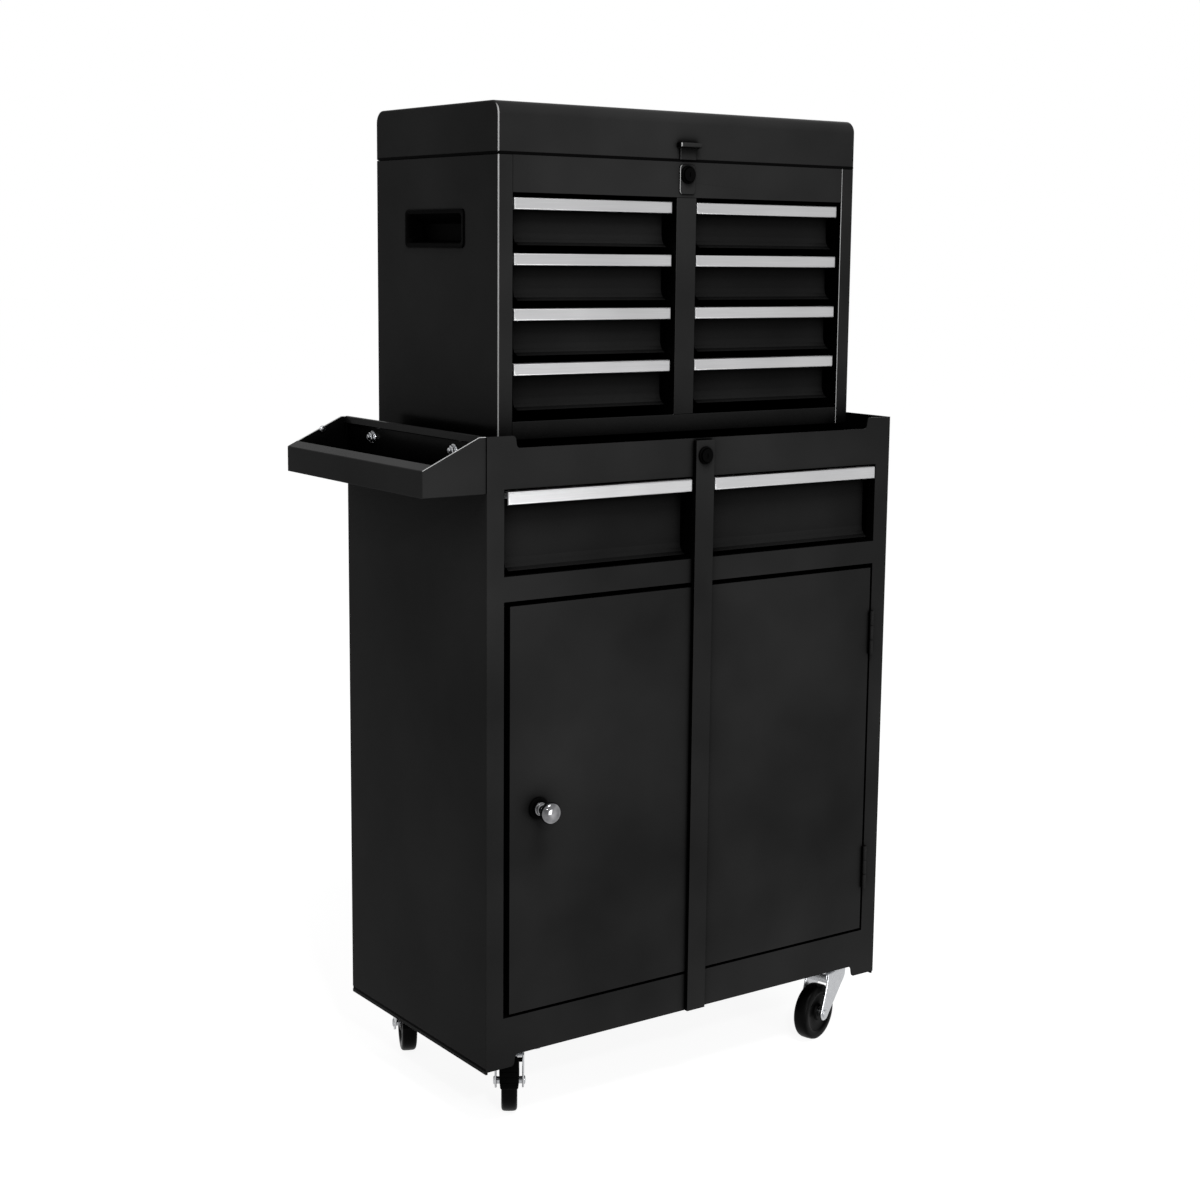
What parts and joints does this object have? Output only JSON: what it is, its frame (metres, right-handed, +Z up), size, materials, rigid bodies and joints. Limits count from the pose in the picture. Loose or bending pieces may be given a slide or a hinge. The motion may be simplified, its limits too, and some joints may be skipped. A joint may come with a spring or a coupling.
{
  "type": "rolling tool chest",
  "caption": "Black steel drawer chest with lid, standing on a rolling cabinet with drawers, a door, a locking bar, a side tray and swivel casters.",
  "frame": {"origin": "on the floor, under the middle of the whole object's box", "axes": "+Z up, +Y from the front to the back, +X to the right of someone facing the drawers"},
  "size_m": [0.6014, 0.316, 1.0444],
  "materials": {
    "black_paint": "satin powder coat",
    "aluminium_pull": "satin anodised",
    "zinc": "zinc plated",
    "chrome": "polished",
    "black_plastic": "moulded",
    "rubber": "matte"
  },
  "bodies": {
    "cabinet": {"cabinet_wrap": "black_paint", "cabinet_front_frame": "black_paint", "cabinet_deck": "black_paint", "drawer_bay_floor": "black_paint", "drawer_divider": "black_paint", "base_pan": "black_paint", "cabinet_drawer_runners": "black_paint", "side_tray": "black_paint", "tray_bolts": "zinc", "door_hinge_frame_leaves": "black_paint", "caster_plates": "zinc"},
    "door": {"door_panel": "black_paint", "door_hinge_door_leaves": "black_paint", "door_knob": "chrome", "lock_bar": "black_paint"},
    "bar_lock": {"bar_lock_cylinder": "black_paint"},
    "chest": {"chest_wrap": "black_paint", "chest_till": "black_paint", "chest_bottom_pan": "black_paint", "chest_centre_divider": "black_paint", "chest_drawer_runners": "black_paint", "carry_handles": "black_plastic", "chest_feet": "rubber", "lid_hinge_chest_leaf": "black_paint", "chest_lock_plate": "black_paint"},
    "chest_lock": {"chest_lock_cylinder": "black_paint"},
    "lid": {"lid_shell": "black_paint", "lid_hinge_lid_leaf": "black_paint", "lid_pull": "black_paint", "lid_catch": "black_paint"},
    "cabinet_drawer_left": {"cabinet_drawer_left_tray": "black_paint", "cabinet_drawer_left_pull": "aluminium_pull"},
    "cabinet_drawer_right": {"cabinet_drawer_right_tray": "black_paint", "cabinet_drawer_right_pull": "aluminium_pull"},
    "chest_drawer_left_1": {"chest_drawer_left_1_tray": "black_paint", "chest_drawer_left_1_pull": "aluminium_pull"},
    "chest_drawer_left_2": {"chest_drawer_left_2_tray": "black_paint", "chest_drawer_left_2_pull": "aluminium_pull"},
    "chest_drawer_left_3": {"chest_drawer_left_3_tray": "black_paint", "chest_drawer_left_3_pull": "aluminium_pull"},
    "chest_drawer_left_4": {"chest_drawer_left_4_tray": "black_paint", "chest_drawer_left_4_pull": "aluminium_pull"},
    "chest_drawer_right_1": {"chest_drawer_right_1_tray": "black_paint", "chest_drawer_right_1_pull": "aluminium_pull"},
    "chest_drawer_right_2": {"chest_drawer_right_2_tray": "black_paint", "chest_drawer_right_2_pull": "aluminium_pull"},
    "chest_drawer_right_3": {"chest_drawer_right_3_tray": "black_paint", "chest_drawer_right_3_pull": "aluminium_pull"},
    "chest_drawer_right_4": {"chest_drawer_right_4_tray": "black_paint", "chest_drawer_right_4_pull": "aluminium_pull"},
    "caster_front_left": {"caster_fork_front_left": "zinc"},
    "wheel_front_left": {"caster_wheel_front_left": "black_plastic"},
    "brake_front_left": {"brake_pedal_front_left": "black_plastic"},
    "caster_front_right": {"caster_fork_front_right": "zinc"},
    "wheel_front_right": {"caster_wheel_front_right": "black_plastic"},
    "caster_rear_left": {"caster_fork_rear_left": "zinc"},
    "wheel_rear_left": {"caster_wheel_rear_left": "black_plastic"},
    "brake_rear_left": {"brake_pedal_rear_left": "black_plastic"},
    "caster_rear_right": {"caster_fork_rear_right": "zinc"},
    "wheel_rear_right": {"caster_wheel_rear_right": "black_plastic"}
  },
  "joints": [
    {"name": "chest_lift", "type": "slide", "parent": "cabinet", "child": "chest", "axis": [0, 0, 1], "range_m": [0, 0.06]},
    {"name": "lid_hinge", "type": "hinge", "parent": "chest", "child": "lid", "pos_m": [0.03575, 0.1535, 0.9931], "axis": [-1, 0, 0], "range_deg": [0, 95]},
    {"name": "door_hinge", "type": "hinge", "parent": "cabinet", "child": "door", "pos_m": [0.27925, -0.1318, 0.341], "axis": [0, 0, 1], "range_deg": [0, 110]},
    {"name": "chest_lock_turn", "type": "hinge", "parent": "chest", "child": "chest_lock", "pos_m": [0.03575, -0.0945, 0.9796], "axis": [0, 1, 0], "range_deg": [0, 90]},
    {"name": "bar_lock_turn", "type": "hinge", "parent": "door", "child": "bar_lock", "pos_m": [0.03575, -0.129, 0.6907], "axis": [0, 1, 0], "range_deg": [0, 90]},
    {"name": "cabinet_drawer_left_slide", "type": "slide", "parent": "cabinet", "child": "cabinet_drawer_left", "axis": [0, -1, 0], "range_m": [0, 0.18]},
    {"name": "cabinet_drawer_right_slide", "type": "slide", "parent": "cabinet", "child": "cabinet_drawer_right", "axis": [0, -1, 0], "range_m": [0, 0.18]},
    {"name": "chest_drawer_left_1_slide", "type": "slide", "parent": "chest", "child": "chest_drawer_left_1", "axis": [0, -1, 0], "range_m": [0, 0.15]},
    {"name": "chest_drawer_left_2_slide", "type": "slide", "parent": "chest", "child": "chest_drawer_left_2", "axis": [0, -1, 0], "range_m": [0, 0.15]},
    {"name": "chest_drawer_left_3_slide", "type": "slide", "parent": "chest", "child": "chest_drawer_left_3", "axis": [0, -1, 0], "range_m": [0, 0.15]},
    {"name": "chest_drawer_left_4_slide", "type": "slide", "parent": "chest", "child": "chest_drawer_left_4", "axis": [0, -1, 0], "range_m": [0, 0.15]},
    {"name": "chest_drawer_right_1_slide", "type": "slide", "parent": "chest", "child": "chest_drawer_right_1", "axis": [0, -1, 0], "range_m": [0, 0.15]},
    {"name": "chest_drawer_right_2_slide", "type": "slide", "parent": "chest", "child": "chest_drawer_right_2", "axis": [0, -1, 0], "range_m": [0, 0.15]},
    {"name": "chest_drawer_right_3_slide", "type": "slide", "parent": "chest", "child": "chest_drawer_right_3", "axis": [0, -1, 0], "range_m": [0, 0.15]},
    {"name": "chest_drawer_right_4_slide", "type": "slide", "parent": "chest", "child": "chest_drawer_right_4", "axis": [0, -1, 0], "range_m": [0, 0.15]},
    {"name": "caster_front_left_swivel", "type": "hinge", "parent": "cabinet", "child": "caster_front_left", "pos_m": [-0.18325, -0.1, 0.0782], "axis": [0, 0, 1], "continuous": true},
    {"name": "wheel_front_left_spin", "type": "hinge", "parent": "caster_front_left", "child": "wheel_front_left", "pos_m": [-0.16874, -0.07723, 0.032], "axis": [-0.8434, 0.5373, 0], "continuous": true},
    {"name": "brake_front_left_press", "type": "hinge", "parent": "caster_front_left", "child": "brake_front_left", "pos_m": [-0.19023, -0.11096, 0.0712], "axis": [0.8434, -0.5373, 0], "range_deg": [0, 15]},
    {"name": "caster_front_right_swivel", "type": "hinge", "parent": "cabinet", "child": "caster_front_right", "pos_m": [0.25475, -0.1, 0.0782], "axis": [0, 0, 1], "continuous": true},
    {"name": "wheel_front_right_spin", "type": "hinge", "parent": "caster_front_right", "child": "wheel_front_right", "pos_m": [0.229, -0.10812, 0.032], "axis": [0.3007, -0.9537, 0], "continuous": true},
    {"name": "caster_rear_left_swivel", "type": "hinge", "parent": "cabinet", "child": "caster_rear_left", "pos_m": [-0.18825, 0.101, 0.0782], "axis": [0, 0, 1], "continuous": true},
    {"name": "wheel_rear_left_spin", "type": "hinge", "parent": "caster_rear_left", "child": "wheel_rear_left", "pos_m": [-0.17727, 0.12567, 0.032], "axis": [-0.9135, 0.4067, 0], "continuous": true},
    {"name": "brake_rear_left_press", "type": "hinge", "parent": "caster_rear_left", "child": "brake_rear_left", "pos_m": [-0.19354, 0.08912, 0.0712], "axis": [0.9135, -0.4067, 0], "range_deg": [0, 15]},
    {"name": "caster_rear_right_swivel", "type": "hinge", "parent": "cabinet", "child": "caster_rear_right", "pos_m": [0.25975, 0.101, 0.0782], "axis": [0, 0, 1], "continuous": true},
    {"name": "wheel_rear_right_spin", "type": "hinge", "parent": "caster_rear_right", "child": "wheel_rear_right", "pos_m": [0.23438, 0.09176, 0.032], "axis": [0.342, -0.9397, 0], "continuous": true}
  ]
}
